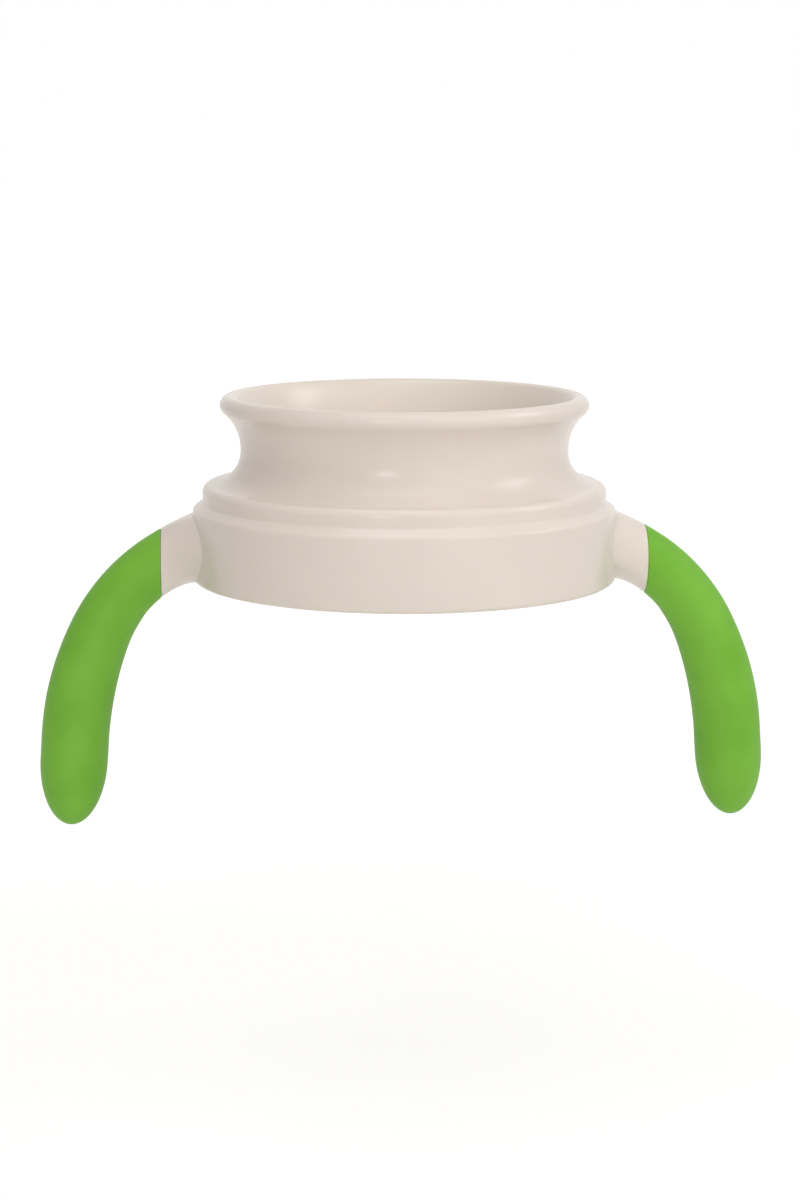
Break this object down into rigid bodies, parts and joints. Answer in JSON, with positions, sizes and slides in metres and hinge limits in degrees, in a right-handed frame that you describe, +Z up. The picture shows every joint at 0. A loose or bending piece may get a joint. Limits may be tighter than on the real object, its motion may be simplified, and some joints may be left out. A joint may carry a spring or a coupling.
{
  "type": "trainer cup drinking collar",
  "caption": "Drinking collar of a trainer cup: flared rim over a waisted neck, threaded skirt, soft rim valve inside, and open handles that turn down into soft grips.",
  "frame": {"origin": "on the collar's axis, level with the skirt's lower edge, where the cup's neck enters", "axes": "+X along the line through the handles, +Z up the collar's axis towards the drinking rim"},
  "size_m": [0.1392, 0.08, 0.0822],
  "materials": {
    "collar_plastic": "glossy warm ivory moulded plastic",
    "arm_plastic": "glossy warm ivory moulded plastic",
    "grip_rubber": "matte leaf-green soft moulding",
    "valve_silicone": "frosted white silicone",
    "support_plastic": "satin white moulded plastic",
    "gasket_silicone": "frosted white silicone"
  },
  "bodies": {
    "collar": {"collar": "collar_plastic", "valve_support": "support_plastic", "cup_gasket": "gasket_silicone", "left_handle_core": "arm_plastic", "right_handle_core": "arm_plastic", "left_grip": "grip_rubber", "right_grip": "grip_rubber"},
    "valve": {"valve": "valve_silicone"}
  },
  "joints": [
    {"name": "valve_lift", "type": "slide", "parent": "collar", "child": "valve", "axis": [0, 0, 1], "range_m": [0, 0.03]}
  ]
}
